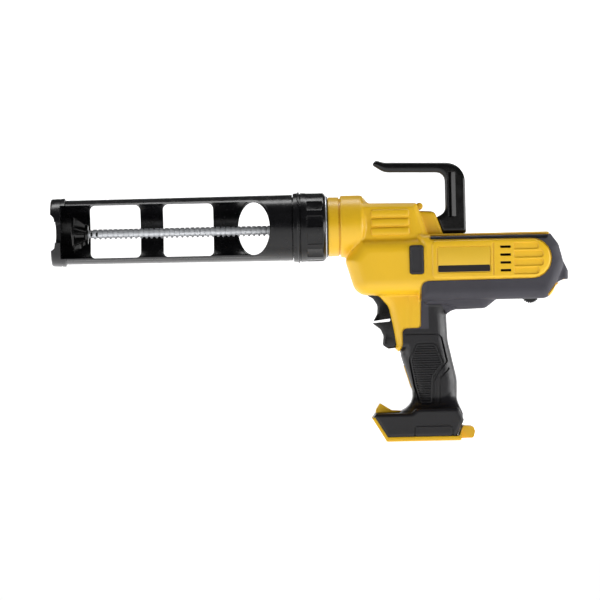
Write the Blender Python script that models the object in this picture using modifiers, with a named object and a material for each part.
"""Cordless caulking gun, modelled as the separate pieces it is assembled from.

Frame: the origin is the centre of the plunger's front face, +X runs along the push rod to the rear,
+Z is up, and the tool's left side faces -Y. All sizes below are in millimetres; the helpers that
make geometry turn them into metres.
"""

import math

import bmesh
import bpy
from mathutils import Matrix, Vector

MM = 0.001
GAP = 0.3  # clearance kept between neighbouring pieces
FAR = 60.0  # further out than any side of the object, for cutters

# Push rod: a round bar with turned rack teeth.
ROD_RADIUS = 4.7
ROD_PITCH_RADIUS = 4.0
ROD_ROOT_RADIUS = 3.2
RACK_PITCH = 1.5 * math.pi
RACK_START, RACK_END = 17.0, 300.0
ROD_TAIL_END = 353.0
ROD_TRAVEL = 215.0

# Plunger.
PLUNGER_RADIUS = 17.0
PLUNGER_PLATE = 2.2
PLUNGER_LENGTH = 15.0

# Cartridge tray, which turns about an axis a little above the rod.
TRAY_AXIS_Z = 2.3
TRAY_FRONT = -14.0
TRAY_REAR = 203.0
TRAY_RADIUS_FRONT = 29.5
TRAY_RADIUS_REAR = 30.4
TRAY_WALL = 2.5
WINDOW_HALF_HEIGHT = 24.3
WINDOWS = ((16.2, 62.6), (83.6, 129.9))
OVAL_CENTRE, OVAL_HALF_LENGTH = 167.4, 14.8
CAP_FRONT, CAP_REAR = -20.6, -5.3
CAP_RADIUS = 31.4
CAP_PLATE = (-15.5, -9.0)
NOZZLE_SLOT_HALF = 10.0

# Collar, swivel ring and spigot that join the tray to the gearbox.
COLLAR_FRONT, COLLAR_REAR = 203.6, 233.2
THREAD_RADIUS = 28.2
SPIGOT_FRONT = 214.7

# Drive train. Shafts A and B run along Y; the motor runs along X.
DRIVE_X = 290.0
PINION_TEETH, PINION_RADIUS = 14, 10.5
SHAFT_A_Z = -(ROD_PITCH_RADIUS + PINION_RADIUS)
FINAL_TEETH, FINAL_RADIUS = 31, 15.5
LAY_TEETH, LAY_RADIUS = 12, 6.0
SHAFT_B_Z = SHAFT_A_Z - FINAL_RADIUS - LAY_RADIUS
CROWN_TEETH, CROWN_RADIUS = 24, 14.0
DRIVER_TEETH, DRIVER_RADIUS = 12, 7.0
MOTOR_Z = SHAFT_B_Z
SHAFT_RADIUS = 4.0

# Housing.
WALL = 3.8
SKIN = 1.6  # thickness of the soft overmould
SIDE = 31.5  # half width of the motor barrel
FOOT_BOTTOM = -195.6
# Housing screws as (x, z, reach of their bosses from the seam into the side wall).
SCREW_PLACES = ((257.5, -31.0, 28.2), (430.0, -15.5, 26.4), (430.0, -57.0, 28.3), (350.0, -66.5, 21.3),
                (326.0, -121.0, 13.7), (323.0, -156.0, 13.7))

# Controls.
TRIGGER_HALF = 9.0
BUTTON_CENTRE = (315.9, -29.8)
BUTTON_SIZE = (12.4, 26.0)
DIAL_CENTRE = (420.3, -63.4)
DIAL_RADIUS = 8.4

# Outlines of the housing's forms in side view, as (x, z, corner radius), with half width and edge rounding.
FORMS = {
    "upper": (((262, -30, 0), (334, -30, 0), (316.8, 22.4, 0), (262, 23.2, 0)), 25.0, 10.0),
    "lower": (((249.5, -8, 0), (249.5, -27, 0), (260.5, -61.5, 14), (336, -61.5, 0), (336, -8, 0)), 31.0, 9.0),
    "barrel": (((318, -6.6, 0), (434, -6.6, 11), (450.5, -36, 11), (438, -67.6, 11), (318, -67.6, 0)), SIDE, 10.0),
    "belly": (((324, -52, 0), (394, -52, 0), (390, -66.2, 0), (378, -75.5, 8), (324, -78.6, 0)), 24.0, 7.0),
    "step": (((312, -12, 0), (342, -12, 0), (332.8, 14.5, 5), (312, 15.6, 0)), 15.0, 4.0),
    "strap": (((282, -56, 0), (290, -76, 0), (296, -106, 0), (294.8, -111, 0), (298.5, -114, 0), (312, -114, 0),
               (312, -56, 0)), 13.5, 3.0),
    "grip": (((300, -55, 0), (300, -120, 0), (309.6, -150, 0), (309.6, -160, 0), (303.5, -174, 0),
              (356, -174, 0), (351, -160, 0), (351, -140, 0), (343.5, -104, 0), (343.3, -55, 0)), 16.5, 8.0),
    "foot": (((275.5, -169.8, 0), (273.4, -173, 0), (285.4, -192.2, 0), (348.5, -192.2, 0), (356, -177, 0),
              (351, -165.8, 0), (313, -165.8, 0), (308, -169.8, 0)), 36.0, 3.0),
}
TAIL = ((428, -17, 0), (445.5, -17, 3), (448.8, -33.6, 0), (454.8, -44, 3), (453.4, -51.5, 3),
        (443.8, -56, 0), (437, -64, 3), (428, -64, 0))
TAIL_HALF = 17.0

# The soft overmould in side view: it runs over the barrel, round the tail and down the grip.
OVERMOULD = ((329, -9.1, 0), (431, -9.1, 0), (434, -2, 0), (470, -2, 0), (470, -50.3, 0), (450.5, -50.3, 0),
             (442.3, -54.2, 0), (435.7, -63, 0), (432, -90, 0), (370, -90, 0), (370, -200, 0), (265, -200, 0),
             (265, -162, 0), (290, -162, 0), (290, -115.2, 0), (299, -115.2, 0), (302, -107.5, 3), (302, -92.6, 4),
             (318.8, -92.4, 3), (320, -49.6, 7), (439.6, -48.9, 18), (439.6, -12.0, 18), (329, -11.6, 0))

YELLOW = ((0.93, 0.62, 0.06), 0.42, 0.0)
SOFT_GREY = ((0.075, 0.073, 0.085), 0.75, 0.0)
BLACK = ((0.02, 0.02, 0.022), 0.4, 0.0)
STEEL = ((0.62, 0.64, 0.67), 0.3, 1.0)
DARK_STEEL = ((0.25, 0.25, 0.27), 0.45, 1.0)
ALUMINIUM = ((0.7, 0.71, 0.72), 0.4, 1.0)
BRONZE = ((0.65, 0.45, 0.2), 0.35, 1.0)
COPPER = ((0.75, 0.36, 0.18), 0.35, 1.0)
GREEN = ((0.05, 0.25, 0.12), 0.5, 0.0)


# ---------------------------------------------------------------- helpers


def start_scene():
    for obj in list(bpy.data.objects):
        bpy.data.objects.remove(obj, do_unlink=True)
    collection = bpy.data.collections.new("caulking_gun")
    bpy.context.scene.collection.children.link(collection)
    return collection


PARTS = start_scene()


def place(name, data):
    obj = bpy.data.objects.new(name, data)
    PARTS.objects.link(obj)
    return obj


def realise(obj, face_outwards=True):
    """A plain, clean mesh object in place of a curve or of a mesh with modifiers. The faces of a solid with a
    closed hollow are already right and aren't turned."""
    name, matrix = obj.name, obj.matrix_basis.copy()
    graph = bpy.context.evaluated_depsgraph_get()
    mesh = bpy.data.meshes.new_from_object(obj.evaluated_get(graph))
    bm = bmesh.new()
    bm.from_mesh(mesh)
    bm.transform(matrix)
    bmesh.ops.remove_doubles(bm, verts=bm.verts, dist=0.002 * MM)
    bmesh.ops.dissolve_limit(bm, angle_limit=math.radians(0.2), verts=bm.verts, edges=bm.edges)
    if face_outwards:
        bmesh.ops.recalc_face_normals(bm, faces=bm.faces)
    bm.to_mesh(mesh)
    bm.free()
    bpy.data.objects.remove(obj)
    return place(name, mesh)


def boolean(target, operation, tools):
    for tool in tools:
        modifier = target.modifiers.new("join_or_cut", "BOOLEAN")
        modifier.operation = operation
        modifier.solver = "EXACT"
        modifier.object = tool
        target = realise(target, face_outwards=False)
        bpy.data.objects.remove(tool)
    return target


def cut(target, *tools):
    return boolean(target, "DIFFERENCE", tools)


def join(target, *tools):
    return boolean(target, "UNION", tools)


def keep(target, *tools):
    return boolean(target, "INTERSECT", tools)


def copy_of(obj):
    twin = obj.copy()
    twin.data = obj.data.copy()
    PARTS.objects.link(twin)
    return twin


def inset(corners, distance):
    """The outline moved inwards by distance. A convex corner's radius shrinks and a concave one's grows."""
    points = [Vector(corner[:2]) for corner in corners]
    area = sum(a.x * b.y - b.x * a.y for a, b in zip(points, points[1:] + points[:1]))
    side = 1 if area > 0 else -1
    moved = []
    for i, here in enumerate(points):
        into = (here - points[i - 1]).normalized()
        out = (points[(i + 1) % len(points)] - here).normalized()
        normal_in = Vector((-into.y, into.x)) * side
        normal_out = Vector((-out.y, out.x)) * side
        shift = (normal_in + normal_out) * (distance / (1 + normal_in.dot(normal_out)))
        convex = (into.x * out.y - into.y * out.x) * side > 0
        radius = corners[i][2]
        if radius:
            radius = max(radius - distance, 0.0) if convex else radius + distance
        moved.append((here.x + shift.x, here.y + shift.y, radius))
    return tuple(moved)


def rounded(corners, steps=4):
    """Points of an outline whose corners (x, z, radius) become arcs."""
    points = []
    for i, (x, z, radius) in enumerate(corners):
        here = Vector((x, z))
        if radius < 0.05:
            points.append(here)
            continue
        back = (Vector(corners[i - 1][:2]) - here).normalized()
        ahead = (Vector(corners[(i + 1) % len(corners)][:2]) - here).normalized()
        half = back.angle(ahead) / 2
        centre = here + (back + ahead).normalized() * radius / math.sin(half)
        first = here + back * radius / math.tan(half) - centre
        last = here + ahead * radius / math.tan(half) - centre
        turn = first.angle_signed(last)
        for k in range(steps + 1):
            points.append(centre + Matrix.Rotation(-turn * k / steps, 2) @ first)
    return points


def prism(name, outline, y_low, y_high, edge=0.0, segments=2):
    """An outline in the XZ plane given width along Y, with its two faces' edges rounded."""
    curve = bpy.data.curves.new(name, "CURVE")
    curve.dimensions = "2D"
    curve.fill_mode = "BOTH"
    curve.extrude = (y_high - y_low) / 2 * MM
    points = rounded(outline) if len(outline[0]) == 3 else outline
    spline = curve.splines.new("POLY")
    spline.points.add(len(points) - 1)
    for spline_point, (x, z) in zip(spline.points, points):
        spline_point.co = (x * MM, z * MM, 0, 1)
    spline.use_cyclic_u = True
    obj = place(name, curve)
    obj.matrix_basis = Matrix.Translation((0, (y_low + y_high) / 2 * MM, 0)) @ Matrix.Rotation(math.pi / 2, 4, "X")
    obj = realise(obj)
    if edge:
        round_faces(obj, edge, segments)
    return obj


def round_faces(obj, edge, segments):
    """Rounds the rim of the two flat faces that look along Y."""
    bm = bmesh.new()
    bm.from_mesh(obj.data)
    rims = [e for e in bm.edges if sum(abs(f.normal.y) > 0.99 for f in e.link_faces) == 1]
    bmesh.ops.bevel(bm, geom=rims, offset=edge * MM, segments=segments, profile=0.5, affect="EDGES",
                    clamp_overlap=False)
    bm.to_mesh(obj.data)
    bm.free()


def block(name, low, high, edge=0.0, segments=2):
    """A box between two corners, with all its edges rounded."""
    bm = bmesh.new()
    size = [(b - a) * MM for a, b in zip(low, high)]
    middle = [(a + b) / 2 * MM for a, b in zip(low, high)]
    bmesh.ops.create_cube(bm, size=1, matrix=Matrix.Translation(middle) @ Matrix.Diagonal((*size, 1)))
    if edge:
        bmesh.ops.bevel(bm, geom=bm.edges, offset=edge * MM, segments=segments, profile=0.5, affect="EDGES")
    mesh = bpy.data.meshes.new(name)
    bm.to_mesh(mesh)
    bm.free()
    return place(name, mesh)


AXIS_TURNS = {"X": Matrix.Rotation(math.pi / 2, 4, "Y"), "Y": Matrix.Rotation(-math.pi / 2, 4, "X"),
              "Z": Matrix.Identity(4)}


def turned(name, profile, centre, axis="X", steps=24):
    """A solid of revolution about an axis through centre. The profile's points are (along, radius), from the
    centre; it is a closed loop unless both its ends lie on the axis."""
    mesh = bpy.data.meshes.new(name)
    count = len(profile)
    on_axis = profile[0][1] == 0 and profile[-1][1] == 0
    edges = [(i, i + 1) for i in range(count - 1)] + ([] if on_axis else [(count - 1, 0)])
    mesh.from_pydata([(radius * MM, 0, along * MM) for along, radius in profile], edges, [])
    obj = place(name, mesh)
    screw = obj.modifiers.new("turn", "SCREW")
    screw.axis = "Z"
    screw.steps = screw.render_steps = steps
    screw.use_merge_vertices = True
    screw.merge_threshold = 0.002 * MM
    obj.matrix_basis = Matrix.Translation([v * MM for v in centre]) @ AXIS_TURNS[axis]
    return realise(obj)


def rod_of(name, radius, start, end, centre, axis="X", steps=16):
    """A plain cylinder from start to end along its axis."""
    return turned(name, ((start, 0), (start, radius), (end, radius), (end, 0)), centre, axis, steps)


def ring_of(name, inner, outer, start, end, centre, axis="X", steps=20):
    return turned(name, ((start, inner), (start, outer), (end, outer), (end, inner)), centre, axis, steps)


def tooth_ring(teeth, radius, addendum, dedendum, phase, thin=0.16, flank=0.42):
    """Points (x, z) round a gear with straight-flanked teeth. flank is the tooth's side slope and thin the
    play taken off each side of a tooth; phase is the angle of one tooth's centre."""
    half_pitch = math.pi * radius / (2 * teeth) - thin
    points = []
    for k in range(teeth):
        middle = phase + k * math.tau / teeth
        for sign, height in ((-1, -dedendum), (-1, addendum), (1, addendum), (1, -dedendum)):
            half = (half_pitch - flank * height) / radius
            reach = radius + height
            angle = middle + sign * half
            points.append((reach * math.cos(angle), reach * math.sin(angle)))
    return points


def gear(name, teeth, radius, heights, phase, centre, y_low, y_high, bore):
    x, z = centre
    points = [(x + px, z + pz) for px, pz in tooth_ring(teeth, radius, *heights, phase)]
    body = prism(name, points, y_low, y_high)
    return cut(body, rod_of("bore", bore, y_low - 1, y_high + 1, (x, 0, z), "Y")) if bore else body


def bevel_teeth(name, teeth, radius, heights, phase, apex_distance, depth, flank):
    """Teeth that taper to an apex at the origin, on the axis Z: a toothed face at apex_distance, pulled
    towards the apex until it is (1 - depth) of its size."""
    points = tooth_ring(teeth, radius, *heights, phase, thin=0.22, flank=flank)
    bm = bmesh.new()
    big = bm.faces.new([bm.verts.new((x * MM, y * MM, apex_distance * MM)) for x, y in points])
    pulled = bmesh.ops.extrude_face_region(bm, geom=[big])["geom"]
    small = [v for v in pulled if isinstance(v, bmesh.types.BMVert)]
    bmesh.ops.scale(bm, vec=(1 - depth,) * 3, verts=small)
    mesh = bpy.data.meshes.new(name)
    bmesh.ops.recalc_face_normals(bm, faces=bm.faces)
    bm.to_mesh(mesh)
    bm.free()
    return place(name, mesh)


def coil(name, radius, wire, start, end, turns, matrix):
    """A compression spring along its own Z, from start to end."""
    curve = bpy.data.curves.new(name, "CURVE")
    curve.dimensions = "3D"
    curve.bevel_depth = wire * MM
    curve.bevel_resolution = 1
    curve.use_fill_caps = True
    count = turns * 8 + 1
    spline = curve.splines.new("POLY")
    spline.points.add(count - 1)
    for k, spline_point in enumerate(spline.points):
        angle = k / 8 * math.tau
        along = start + (end - start) * k / (count - 1)
        spline_point.co = (radius * math.cos(angle) * MM, radius * math.sin(angle) * MM, along * MM, 1)
    obj = place(name, curve)
    obj.matrix_basis = matrix
    return realise(obj)


def finish(obj, name, colour):
    """Names a piece, gives it its material and shades it smooth up to its real edges."""
    rgb, roughness, metallic = colour
    obj.name = name
    material = bpy.data.materials.new(name)
    material.use_nodes = True
    shader = material.node_tree.nodes["Principled BSDF"]
    shader.inputs["Base Color"].default_value = (*rgb, 1)
    shader.inputs["Roughness"].default_value = roughness
    shader.inputs["Metallic"].default_value = metallic
    material.diffuse_color = (*rgb, 1)
    obj.data.materials.clear()
    obj.data.materials.append(material)
    obj.data.shade_smooth()
    obj.data.set_sharp_from_angle(angle=math.radians(35))
    return obj


def ride_on(name, point, pieces):
    """Parents the pieces of one moving body to an empty on its joint's axis."""
    axis = place(name, None)
    axis.matrix_basis = Matrix.Translation([v * MM for v in point])
    for piece in pieces:
        piece.parent = axis
        piece.matrix_parent_inverse = axis.matrix_basis.inverted()


# ---------------------------------------------------------------- tray


def arch(x_low, x_high, half_height, steps=10):
    """Outline of an opening that ends in a half ellipse at x_high."""
    straight_end = OVAL_CENTRE
    points = [(x_low, TRAY_AXIS_Z + half_height), (x_low, TRAY_AXIS_Z - half_height)]
    for k in range(steps + 1):
        angle = -math.pi / 2 + math.pi * k / steps
        points.append((straight_end + (x_high - straight_end) * math.cos(angle),
                       TRAY_AXIS_Z + half_height * math.sin(angle)))
    return points


def make_tray():
    centre = (0, 0, TRAY_AXIS_Z)
    front, rear = TRAY_RADIUS_FRONT, TRAY_RADIUS_REAR
    tube = turned("tube", ((TRAY_FRONT, front - TRAY_WALL), (TRAY_FRONT, front), (TRAY_REAR, rear),
                           (TRAY_REAR, THREAD_RADIUS), (213.0, THREAD_RADIUS), (213.0, 27.1), (TRAY_REAR - 4, 27.1),
                           (TRAY_REAR - 8, rear - TRAY_WALL)), centre, steps=32)
    oval_end = OVAL_CENTRE + OVAL_HALF_LENGTH
    tube = cut(tube, prism("near_opening", arch(TRAY_FRONT - 1, oval_end, WINDOW_HALF_HEIGHT), -FAR, 0))
    for low, high in WINDOWS:
        top, bottom = TRAY_AXIS_Z + WINDOW_HALF_HEIGHT, TRAY_AXIS_Z - WINDOW_HALF_HEIGHT
        corners = ((low, bottom, 5), (high, bottom, 5), (high, top, 5), (low, top, 5))
        tube = cut(tube, prism("window", corners, 0, FAR))
    oval = [(OVAL_CENTRE + OVAL_HALF_LENGTH * math.cos(k * math.tau / 24),
             TRAY_AXIS_Z + WINDOW_HALF_HEIGHT * math.sin(k * math.tau / 24)) for k in range(24)]
    tube = cut(tube, prism("oval", oval, 0, FAR))
    return finish(tube, "cartridge_tray", BLACK)


def make_tray_cap():
    """End cap with a slot for the cartridge's nozzle, and two lugs that stand forward of its plate."""
    centre = (0, 0, TRAY_AXIS_Z)
    plate_front, plate_rear = CAP_PLATE
    skirt_inner = TRAY_RADIUS_FRONT + GAP
    cap = turned("cap", ((CAP_FRONT, 0), (CAP_FRONT, CAP_RADIUS - 1.5), (CAP_FRONT + 1.5, CAP_RADIUS),
                         (CAP_REAR, CAP_RADIUS), (CAP_REAR, skirt_inner), (TRAY_FRONT - GAP, skirt_inner),
                         (TRAY_FRONT - GAP, 26.6), (plate_rear, 26.6), (plate_rear, 0)), centre, steps=32)
    cap = cut(cap, block("recess", (CAP_FRONT - 5, -FAR, TRAY_AXIS_Z - 14), (plate_front, FAR, TRAY_AXIS_Z + 14)))
    slot_top, slot_bottom = TRAY_AXIS_Z + NOZZLE_SLOT_HALF, TRAY_AXIS_Z - NOZZLE_SLOT_HALF
    slot = block("slot", (CAP_FRONT - 5, -FAR, slot_bottom), (plate_rear + 5, 0, slot_top))
    slot_end = rod_of("slot_end", NOZZLE_SLOT_HALF, CAP_FRONT - 5, plate_rear + 5, centre, steps=24)
    cap = cut(cap, slot, slot_end)
    mouth = block("mouth", (plate_rear, -FAR, TRAY_AXIS_Z - 24.3), (0, -12, TRAY_AXIS_Z + 24.3))
    return finish(cut(cap, mouth), "tray_nose_cap", BLACK)


def make_swivel_ring():
    ring = turned("ring", ((202.0, 25.6), (202.0, 26.8), (213.3, 26.8), (213.3, THREAD_RADIUS),
                           (214.3, THREAD_RADIUS), (214.3, 25.6)), (0, 0, TRAY_AXIS_Z), steps=28)
    return finish(ring, "tray_swivel_ring", STEEL)


def make_collar():
    inner = THREAD_RADIUS + GAP
    collar = turned("collar", ((COLLAR_FRONT, inner), (COLLAR_FRONT, 31.6), (204.6, 32.6), (209.4, 32.6),
                               (210.4, 31.0), (211.2, 31.3), (229.0, 31.0), (232.0, 29.8), (COLLAR_REAR, 28.9),
                               (COLLAR_REAR, inner)), (0, 0, TRAY_AXIS_Z), steps=32)
    return finish(collar, "tray_locking_collar", BLACK)


# ---------------------------------------------------------------- push rod


def make_rod():
    """The rod's teeth are turned all round it. One tooth is centred over the pinion."""
    tip_half = RACK_PITCH / 4 - 0.16 - 0.42 * (ROD_RADIUS - ROD_PITCH_RADIUS)
    root_half = RACK_PITCH / 4 - 0.16 + 0.42 * (ROD_PITCH_RADIUS - ROD_ROOT_RADIUS)
    first = math.ceil((RACK_START + root_half - DRIVE_X) / RACK_PITCH)
    last = math.floor((RACK_END - root_half - DRIVE_X) / RACK_PITCH)
    profile = [(3.0, 0), (3.0, 2.9), (PLUNGER_LENGTH + GAP, 2.9), (PLUNGER_LENGTH + GAP, ROD_ROOT_RADIUS)]
    for k in range(first, last + 1):
        middle = DRIVE_X + k * RACK_PITCH
        profile += [(middle - root_half, ROD_ROOT_RADIUS), (middle - tip_half, ROD_RADIUS),
                    (middle + tip_half, ROD_RADIUS), (middle + root_half, ROD_ROOT_RADIUS)]
    profile += [(RACK_END, ROD_ROOT_RADIUS), (RACK_END, 4.2), (ROD_TAIL_END, 4.2), (ROD_TAIL_END, 0)]
    rod = turned("rod", profile, (0, 0, 0), steps=8)
    rod = cut(rod, rod_of("pin_hole", 1.35, -FAR, FAR, (8.5, 0, 0), "Z", 8))
    tapped_hole = rod_of("tapped_hole", 2.3, 340, ROD_TAIL_END + 5, (0, 0, 0), steps=10)
    return finish(cut(rod, tapped_hole), "push_rod", STEEL)


def make_plunger():
    """A plate that bears on the cartridge's piston, with four gussets to a hub on the rod."""
    body = turned("plunger", ((0, 0), (0, PLUNGER_RADIUS - 0.6), (0.6, PLUNGER_RADIUS),
                              (PLUNGER_PLATE, PLUNGER_RADIUS), (PLUNGER_PLATE, 5.4), (11.5, 5.4), (12.5, 8.4),
                              (PLUNGER_LENGTH, 8.4), (PLUNGER_LENGTH, 0)), (0, 0, 0), steps=28)
    gusset = ((1.0, 4.5), (1.0, 16.2), (3.2, 16.2), (13.6, 8.0), (13.6, 4.5))
    for k in range(4):
        web = prism("gusset", gusset, -1.0, 1.0)
        web.data.transform(Matrix.Rotation(math.radians(8 + 90 * k), 4, "X"))
        body = join(body, web)
    bore = rod_of("bore", 3.2, 2.6, PLUNGER_LENGTH + 5, (0, 0, 0), steps=12)
    pin_hole = rod_of("pin_hole", 1.35, -FAR, FAR, (8.5, 0, 0), "Z", 8)
    return finish(cut(body, bore, pin_hole), "plunger", BLACK)


def make_plunger_pin():
    return finish(rod_of("pin", 1.0, -5.6, 5.6, (8.5, 0, 0), "Z", 8), "plunger_pin", STEEL)


HOOK_OUTLINE = ((277.0, 58.6, 0), (280.6, 62.4, 1.5), (288.5, 61.0, 8), (362.0, 61.0, 17), (362.0, -5.0, 2),
                (342.0, -5.0, 1.5), (336.2, 13.0, 0), (343.8, 17.0, 5), (343.8, 51.8, 7), (288.0, 51.8, 12))
HOOK_HALF = 8.5


def make_hook():
    hook = prism("hook", HOOK_OUTLINE, -HOOK_HALF, HOOK_HALF)
    rims = bmesh.new()
    rims.from_mesh(hook.data)
    flat = [e for e in rims.edges if sum(abs(f.normal.y) > 0.99 for f in e.link_faces) == 1]
    bmesh.ops.bevel(rims, geom=flat, offset=1.6 * MM, segments=2, profile=0.5, affect="EDGES", clamp_overlap=True)
    rims.to_mesh(hook.data)
    rims.free()
    socket = rod_of("socket", 4.5, 330, ROD_TAIL_END + GAP, (0, 0, 0), steps=12)
    screw_hole = rod_of("screw_hole", 2.8, 350, 370, (0, 0, 0), steps=10)
    counterbore = rod_of("counterbore", 4.6, 358.5, 370, (0, 0, 0), steps=12)
    return finish(cut(hook, socket, screw_hole, counterbore), "pull_hook", BLACK)


def make_hook_screw():
    screw = turned("screw", ((342, 0), (342, 2.0), (358.8, 2.0), (358.8, 4.1), (361.8, 4.1), (361.8, 0)),
                   (0, 0, 0), steps=10)
    return finish(screw, "hook_screw", DARK_STEEL)


# ---------------------------------------------------------------- housing


def nose_form(shrink):
    """The round front of the housing, about the tray's axis."""
    profile = ((235.3, 27.1), (245.4, 27.1), (245.4, 26.0), (247.2, 26.0), (247.2, 28.4), (266.5, 28.4),
               (271.5, 23.4), (290.0, 23.4))
    if shrink:
        profile = ((235.3 + shrink, 23.4), (255.0, 23.4), (255.0, 28.4 - shrink), (265.0, 28.4 - shrink),
                   (270.0, 23.4 - shrink), (290.0, 23.4 - shrink))
    ends = ((profile[0][0], 0),) + profile + ((profile[-1][0], 0),)
    return turned("nose", ends, (0, 0, TRAY_AXIS_Z), steps=36)


def housing_form(shrink, names):
    """All the housing's forms as one solid, moved inwards by shrink."""
    body = nose_form(shrink)
    for name in names:
        outline, half, edge = FORMS[name]
        form = prism(name, inset(outline, shrink) if shrink else outline, -(half - shrink), half - shrink,
                     max(edge - shrink, 1.0))
        body = join(body, form)
    return body


def screw_bosses(side):
    """Posts from the side wall to the seam, which the housing screws pass through."""
    bosses = []
    for x, z, reach in SCREW_PLACES:
        low, high = sorted((side * GAP / 2, side * reach))
        bosses.append(rod_of("boss", 4.0, low, high, (x, 0, z), "Y", 12))
    return bosses


def housing_cutters():
    """Openings through both halves: rod exit, trigger mouth, dial slot, nose bore and handle-to-foot duct."""
    return [
        rod_of("rod_exit", 6.0, 300, 350, (0, 0, 0), steps=16),
        rod_of("nose_bore", 23.2, 230, 250, (0, 0, TRAY_AXIS_Z), steps=28),
        block("trigger_mouth", (262, -TRIGGER_HALF - 0.8, -106.0), (307, TRIGGER_HALF + 0.8, -61.9)),
        block("trigger_sill", (262, -TRIGGER_HALF - 0.8, -112.0), (303.5, TRIGGER_HALF + 0.8, -105.0)),
        dial_slot(),
        block("axle_notch", (DIAL_CENTRE[0] - 2.2, -7, DIAL_CENTRE[1] - 1.9), (DIAL_CENTRE[0] + 2.2, 7, -50)),
        battery_bay(),
        block("terminal_duct", (322, -12, -190), (340, 12, -165)),
    ]


def dial_slot():
    x = DIAL_CENTRE[0]
    return block("dial_slot", (x - 9.2, -3.6, -80), (x + 9.2, 3.6, -55))


def battery_bay():
    """The space under the foot that a battery slides into."""
    return block("battery_bay", (290, -27, -210), (346, 27, -180))


def vent_slots(side):
    low, high = sorted((side * 20.0, side * FAR))
    return [block("vent", (392.4, low, z - 1.0), (402.0, high, z + 1.0)) for z in (-19.6, -26.8, -34.0, -41.1)]


def split(obj, side):
    """The half of a piece on one side of the seam."""
    low, high = sorted((side * GAP / 2, side * FAR))
    return keep(copy_of(obj), block("half", (200, low, -FAR * 5), (FAR * 10, high, FAR * 5)))


def make_housing_and_grips():
    """Two hard shell halves and the soft overmould on each. Every surface comes from housing_form."""
    names = list(FORMS)
    outer = join(housing_form(0, names), prism("tail", TAIL, -TAIL_HALF, TAIL_HALF, 2.0))
    overmould = keep(copy_of(outer), prism("region", OVERMOULD, -FAR, FAR))
    overmould = cut(overmould, housing_form(SKIN, names), block("front_band", (290, -4, -166), (311, 4, -115)))
    skin_space = cut(prism("space", inset(OVERMOULD, -GAP), -FAR, FAR), housing_form(SKIN + GAP, names))
    shell = cut(outer, skin_space, housing_form(WALL, [name for name in names if name != "foot"]))
    for side, word in ((-1, "left"), (1, "right")):
        finish_shell(split(shell, side), side, word)
        finish_overmould(split(overmould, side), side, word)
    bpy.data.objects.remove(shell)
    bpy.data.objects.remove(overmould)


def finish_shell(shell, side, word):
    shell = join(shell, *screw_bosses(side))
    shell = cut(shell, *housing_cutters(), *vent_slots(side), label_pocket(side))
    for x, z, _ in SCREW_PLACES:
        shell = cut(shell, rod_of("screw_hole", 1.8, -12.5, FAR, (x, 0, z), "Y", 8))
        if side > 0:
            shell = cut(shell, rod_of("counterbore", 3.4, 8.0, FAR, (x, 0, z), "Y", 10))
    if side < 0:
        (x, z), (width, height) = BUTTON_CENTRE, BUTTON_SIZE
        shell = cut(shell, block("button_hole", (x - width / 2 - 0.5, -FAR, z - height / 2 - 0.5),
                                 (x + width / 2 + 0.5, -20, z + height / 2 + 0.5)))
    finish(shell, f"{word}_housing", YELLOW)


def finish_overmould(overmould, side, word):
    overmould = cut(overmould, dial_slot(), battery_bay())
    if side > 0:
        holes = [rod_of("access", 3.4, 4.0, FAR, (x, 0, z), "Y", 10) for x, z, _ in SCREW_PLACES]
        overmould = cut(overmould, *holes)
    finish(overmould, f"{word}_overmould", SOFT_GREY)


def make_spigot():
    """The metal nose that carries the tray. Its cup takes the plunger when the rod is drawn back."""
    spigot = turned("spigot", ((SPIGOT_FRONT, 25.0), (SPIGOT_FRONT, THREAD_RADIUS), (234.9, THREAD_RADIUS),
                               (234.9, 22.9), (251.0, 22.9), (251.0, 0), (232.5, 0), (232.5, 25.0)),
                    (0, 0, TRAY_AXIS_Z), steps=28)
    return finish(cut(spigot, rod_of("bore", 7.1, 225, 260, (0, 0, 0), steps=14)), "nose_spigot", ALUMINIUM)


def make_rod_guides():
    finish(ring_of("front", 5.0, 6.8, 234.0, 250.0, (0, 0, 0), steps=14), "front_rod_bush", BRONZE)
    finish(ring_of("rear", 5.0, 5.7, 325.5, 333.0, (0, 0, 0), steps=14), "rear_rod_bush", BRONZE)


def make_foot():
    """The hard base of the foot: a rim round the battery bay, a front strip and a rear block."""
    outline = ((271.6, -173.4, 0), (285.0, -195.6, 1.5), (352.4, -195.6, 0), (353.8, -193.9, 0), (364.6, -193.9, 2),
               (366.2, -188, 0), (365.0, -183.4, 2), (357.5, -182.6, 0), (352.6, -192.5, 0), (285.4, -192.5, 0),
               (273.2, -173.4, 0))
    base = prism("base", outline, -35.4, 35.4)
    for side in (-1, 1):
        low, high = sorted((side * 24.0, side * FAR))
        base = cut(base, block("corner", (353.2, low, -200), (380, high, -170)))
    return finish(cut(base, battery_bay()), "battery_foot", YELLOW)


def make_foot_tab():
    outline = ((275.6, -169.4, 0), (275.9, -166.6, 0), (279.8, -160.6, 1), (290.5, -167.4, 0), (302.0, -168.2, 0),
               (302.0, -169.4, 0))
    return finish(prism("tab", outline, -13.0, 13.0, 0.4, 1), "foot_tab", YELLOW)


LABEL = ((334.8, -18.9, 1.5), (383.4, -18.9, 1.5), (383.4, -42.2, 1.5), (334.8, -42.2, 1.5))


def make_label_plates():
    for side, word in ((-1, "left"), (1, "right")):
        low, high = sorted((side * (SIDE - 0.9), side * (SIDE + 0.25)))
        finish(prism("plate", LABEL, low, high), f"{word}_label_plate", YELLOW)


def label_pocket(side):
    low, high = sorted((side * (SIDE - 1.2), side * FAR))
    return prism("pocket", inset(LABEL, -GAP), low, high)


# ---------------------------------------------------------------- drive train


def y_shaft(name, radius, z, y_low, y_high):
    return rod_of(name, radius, y_low, y_high, (DRIVE_X, 0, z), "Y", 12)


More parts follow.
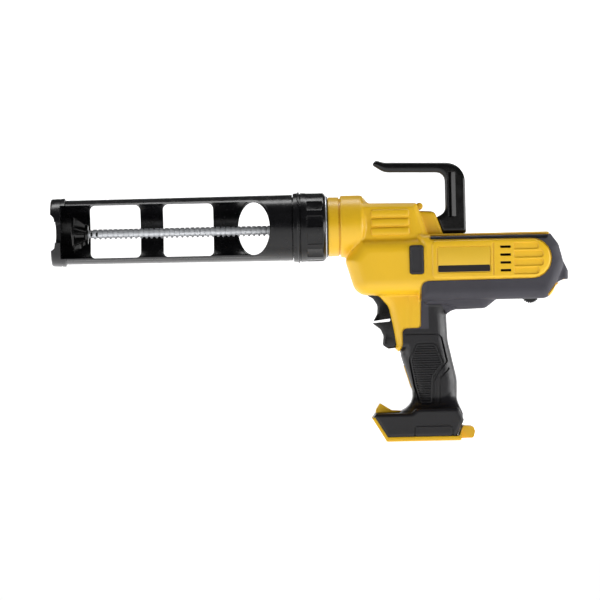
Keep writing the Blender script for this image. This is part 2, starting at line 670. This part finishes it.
def make_rack_pinion():
    """The pinion's shaft carries the final gear. A pinion tooth gap faces the rod's tooth over it."""
    phase = math.pi / 2 + math.pi / PINION_TEETH
    body = gear("pinion", PINION_TEETH, PINION_RADIUS, (0.7, 0.85), phase, (DRIVE_X, SHAFT_A_Z), -4, 4, 0)
    final = gear("final", FINAL_TEETH, FINAL_RADIUS, (0.45, 0.6), final_phase(), (DRIVE_X, SHAFT_A_Z), 6.5, 12.5, 0)
    body = join(body, y_shaft("shaft", 4.0, SHAFT_A_Z, -20.2, 20.2), y_shaft("hub", 6.5, SHAFT_A_Z, 3.0, 13.6))
    return finish(join(body, final), "rack_pinion", STEEL)


def final_phase():
    """A final gear's tooth points straight down, at the lay gear's gap."""
    return -math.pi / 2


def make_lay_shaft():
    """Lay gear and crown gear on one shaft. The lay gear's gap points up and the crown's tooth to the rear."""
    phase = math.pi / 2 + math.pi / LAY_TEETH
    lay = gear("lay", LAY_TEETH, LAY_RADIUS, (0.45, 0.6), phase, (DRIVE_X, SHAFT_B_Z), 6.2, 12.8, 0)
    crown = bevel_teeth("crown", CROWN_TEETH, CROWN_RADIUS, (1.4, 1.9), 0, DRIVER_RADIUS, 0.28, 0.15)
    crown.data.transform(Matrix.Translation((DRIVE_X * MM, 0, SHAFT_B_Z * MM)) @ Matrix.Rotation(math.pi / 2, 4, "X"))
    body = join(lay, y_shaft("shaft", SHAFT_RADIUS, SHAFT_B_Z, -20.2, 20.2), crown)
    body = join(body, y_shaft("disc", 12.6, SHAFT_B_Z, -9.8, -6.9), y_shaft("hub", 7.0, SHAFT_B_Z, -12.0, -5.2))
    return finish(body, "lay_shaft", STEEL)


def make_driver():
    """Bevel driver on the gearhead's output shaft; a gap of it faces the crown's tooth."""
    phase = math.pi / DRIVER_TEETH
    driver = bevel_teeth("driver", DRIVER_TEETH, DRIVER_RADIUS, (0.62, 0.95), phase, CROWN_RADIUS, 0.28, 0.3)
    driver.data.transform(Matrix.Translation((DRIVE_X * MM, 0, MOTOR_Z * MM)) @ Matrix.Rotation(math.pi / 2, 4, "Y")
                          @ Matrix.Rotation(math.pi / 2, 4, "Z"))
    centre = (0, 0, MOTOR_Z)
    shaft = turned("shaft", ((302.0, 0), (302.0, 4.5), (308.6, 4.5), (308.6, 3.2), (338.0, 3.2), (338.0, 0)),
                   centre, steps=12)
    return finish(join(driver, shaft), "output_shaft", STEEL)


def make_gear_frame():
    """A box of cast walls that holds both cross shafts, open above and below."""
    frame = block("frame", (270.4, -20.4, -55.5), (312.2, 20.4, 11.0), 0.8, 1)
    frame = cut(frame, block("inside", (273.6, -17.4, -70), (309.0, 17.4, 30)))
    frame = cut(frame, rod_of("rod_way", 6.0, 250, 330, (0, 0, 0), steps=14),
                rod_of("output_way", 6.6, 300, 330, (0, 0, MOTOR_Z), steps=14))
    for z in (SHAFT_A_Z, SHAFT_B_Z):
        frame = cut(frame, y_shaft("shaft_way", 6.3, z, -30, 30))
    return finish(frame, "gear_frame", ALUMINIUM)


def make_bushes():
    number = 1
    for z in (SHAFT_A_Z, SHAFT_B_Z):
        for low in (-20.4, 17.4):
            bush = ring_of("bush", SHAFT_RADIUS + GAP, 6.0, low, low + 3.0, (DRIVE_X, 0, z), "Y", 12)
            finish(bush, f"shaft_bush_{number}", BRONZE)
            number += 1
    finish(ring_of("bush", 4.8, 6.3, 309.2, 312.0, (0, 0, MOTOR_Z), steps=12), "output_bush", BRONZE)


def make_motor():
    """Planetary gearhead, can, rotor and end bell, one behind another along X."""
    centre = (0, 0, MOTOR_Z)
    gearhead = turned("gearhead", ((312.6, 3.6), (312.6, 16.0), (315.0, 18.4), (347.0, 18.4), (347.0, 14.0),
                                   (339.0, 14.0), (339.0, 3.6)), centre, steps=20)
    finish(gearhead, "gearhead_case", DARK_STEEL)
    can = turned("can", ((347.4, 4.0), (347.4, 18.2), (404.0, 18.2), (404.0, 16.6), (349.4, 16.6), (349.4, 4.0)),
                 centre, steps=20)
    finish(can, "motor_can", DARK_STEEL)
    bell = turned("bell", ((404.4, 2.2), (404.4, 17.6), (411.5, 15.5), (411.5, 2.2)), centre, steps=20)
    finish(bell, "motor_end_bell", BLACK)
    rotor = turned("rotor", ((341.0, 0), (341.0, 3.4), (346.0, 3.4), (346.0, 1.7), (354.0, 1.7), (354.0, 12.0),
                             (388.0, 12.0), (388.0, 5.0), (400.0, 5.0), (400.0, 1.7), (414.0, 1.7), (414.0, 0)),
                   centre, steps=16)
    for k in range(5):
        slot = block("slot", (350, -1.0, 9.0), (392, 1.0, 14.0))
        slot.data.transform(Matrix.Translation((0, 0, MOTOR_Z * MM)) @ Matrix.Rotation(k * math.tau / 5, 4, "X"))
        rotor = cut(rotor, slot)
    return finish(rotor, "motor_rotor", COPPER)


# ---------------------------------------------------------------- controls


TRIGGER = ((271.2, -62.2, 0), (276.6, -65.6, 3), (279.3, -75.0, 6), (275.2, -85.2, 1), (279.0, -86.6, 0),
           (290.5, -84.6, 0), (290.3, -86.4, 0), (279.0, -88.2, 0), (274.6, -88.4, 1), (283.9, -95.6, 7),
           (283.6, -107.6, 3), (288.6, -111.0, 3), (296.2, -110.2, 1), (297.6, -105.4, 0), (300.6, -105.0, 0),
           (300.6, -62.2, 0))
TRIGGER_TRAVEL = 6.0
TRIGGER_SPRING_Z = -78.0


def make_trigger():
    """Two finger grooves with a slit between them, and a blind bore at the back for the return spring."""
    trigger = prism("trigger", TRIGGER, -TRIGGER_HALF, TRIGGER_HALF, 0.9)
    bore = rod_of("bore", 3.9, 285.0, 310, (0, 0, TRIGGER_SPRING_Z), steps=14)
    return finish(cut(trigger, bore), "trigger", BLACK)


def make_trigger_spring():
    turn = Matrix.Translation((292.0 * MM, 0, TRIGGER_SPRING_Z * MM)) @ Matrix.Rotation(math.pi / 2, 4, "Y")
    return finish(coil("spring", 2.9, 0.45, 0, 15.6, 6, turn), "trigger_spring", STEEL)


def make_switch():
    switch = block("switch", (308.4, -8.5, -100.0), (330.0, 8.5, -68.0), 0.8, 1)
    return finish(switch, "trigger_switch", BLACK)


BUTTON_TRAVEL = 3.0


def make_release_button():
    """A push button with a flange inside the wall. Its spring sits in a blind bore."""
    (x, z), (width, height) = BUTTON_CENTRE, BUTTON_SIZE
    corners = [(x + a * width / 2, z + b * height / 2, 2.0) for a, b in ((-1, -1), (1, -1), (1, 1), (-1, 1))]
    button = prism("button", corners, -32.9, -25.0, 0.8)
    flange = block("flange", (x - width / 2 - 1.0, -26.4, z - height / 2 - 1.0),
                   (x + width / 2 + 1.0, -25.0, z + height / 2 + 1.0))
    bore = rod_of("bore", 3.5, -30.6, -20, (x, 0, z), "Y", 14)
    return finish(cut(join(button, flange), bore), "release_button", BLACK)


def make_button_spring():
    x, z = BUTTON_CENTRE
    turn = Matrix.Translation((x * MM, -27.0 * MM, z * MM)) @ Matrix.Rotation(-math.pi / 2, 4, "X")
    return finish(coil("spring", 2.6, 0.4, 0, 5.6, 3, turn), "button_spring", STEEL)


def make_button_seat():
    x, z = BUTTON_CENTRE
    return finish(block("seat", (312.5, -20.6, z - 9), (324.0, -19.0, z + 9)), "button_spring_seat", STEEL)


def make_dial():
    """Thumbwheel with a knurled rim and stub axles."""
    x, z = DIAL_CENTRE
    wheel = prism("dial", [(x + px, z + pz) for px, pz in tooth_ring(20, DIAL_RADIUS, 0, 0.5, 0, 0.3, 0.3)], -3, 3)
    return finish(join(wheel, rod_of("axle", 1.6, -6.2, 6.2, (x, 0, z), "Y", 10)), "speed_dial", BLACK)


def make_dial_cradle():
    """Two cheeks and a bridge over the thumbwheel, carrying its axle ends."""
    x, z = DIAL_CENTRE
    cradle = block("cradle", (x - 4, -7.8, z - 0.4), (x + 4, 7.8, z + 12.6))
    cradle = cut(cradle, block("gap", (x - 20, -3.9, z - 5), (x + 20, 3.9, z + 9.8)))
    return cradle, rod_of("axle_way", 1.9, -10, 10, (x, 0, z), "Y", 10)


def make_electrics():
    cradle, way = make_dial_cradle()
    finish(cut(cradle, way), "dial_cradle", BLACK)
    finish(block("board", (416.0, -27.2, -48.5), (417.6, 27.2, -18)), "control_board", GREEN)
    finish(block("terminals", (322.4, -11.6, -191.0), (339.6, 11.6, -174.0), 0.8, 1), "terminal_block", BLACK)
    for number, y in ((1, -7.0), (2, 7.0)):
        blade = block("blade", (308.0, y - 0.4, -190.0), (322.0, y + 0.4, -184.0))
        finish(blade, f"battery_contact_{number}", COPPER)


def make_screws():
    for number, (x, z, _) in enumerate(SCREW_PLACES, 1):
        screw = turned("screw", ((-11.5, 0), (-11.5, 1.5), (8.3, 1.5), (8.3, 3.0), (10.6, 3.0), (10.6, 0)),
                       (x, 0, z), "Y", 8)
        finish(screw, f"housing_screw_{number}", DARK_STEEL)


def main():
    tray = [make_tray(), make_tray_cap(), make_swivel_ring()]
    collar = make_collar()
    rod = [make_rod(), make_plunger(), make_plunger_pin(), make_hook(), make_hook_screw()]
    make_housing_and_grips()
    make_spigot()
    make_rod_guides()
    make_foot()
    make_foot_tab()
    make_label_plates()
    pinion, lay, output = make_rack_pinion(), make_lay_shaft(), make_driver()
    make_gear_frame()
    make_bushes()
    rotor = make_motor()
    trigger, button, dial = make_trigger(), make_release_button(), make_dial()
    make_trigger_spring()
    make_switch()
    make_button_spring()
    make_button_seat()
    make_electrics()
    make_screws()
    ride_on("tray_axis", (0, 0, TRAY_AXIS_Z), tray)
    ride_on("collar_axis", (COLLAR_FRONT, 0, TRAY_AXIS_Z), [collar])
    ride_on("rod_axis", (0, 0, 0), rod)
    ride_on("pinion_axis", (DRIVE_X, 0, SHAFT_A_Z), [pinion])
    ride_on("lay_axis", (DRIVE_X, 0, SHAFT_B_Z), [lay])
    ride_on("output_axis", (DRIVE_X, 0, MOTOR_Z), [output])
    ride_on("rotor_axis", (350, 0, MOTOR_Z), [rotor])
    ride_on("trigger_axis", (285, 0, TRIGGER_SPRING_Z), [trigger])
    ride_on("button_axis", (BUTTON_CENTRE[0], -25, BUTTON_CENTRE[1]), [button])
    ride_on("dial_axis", (DIAL_CENTRE[0], 0, DIAL_CENTRE[1]), [dial])


main()
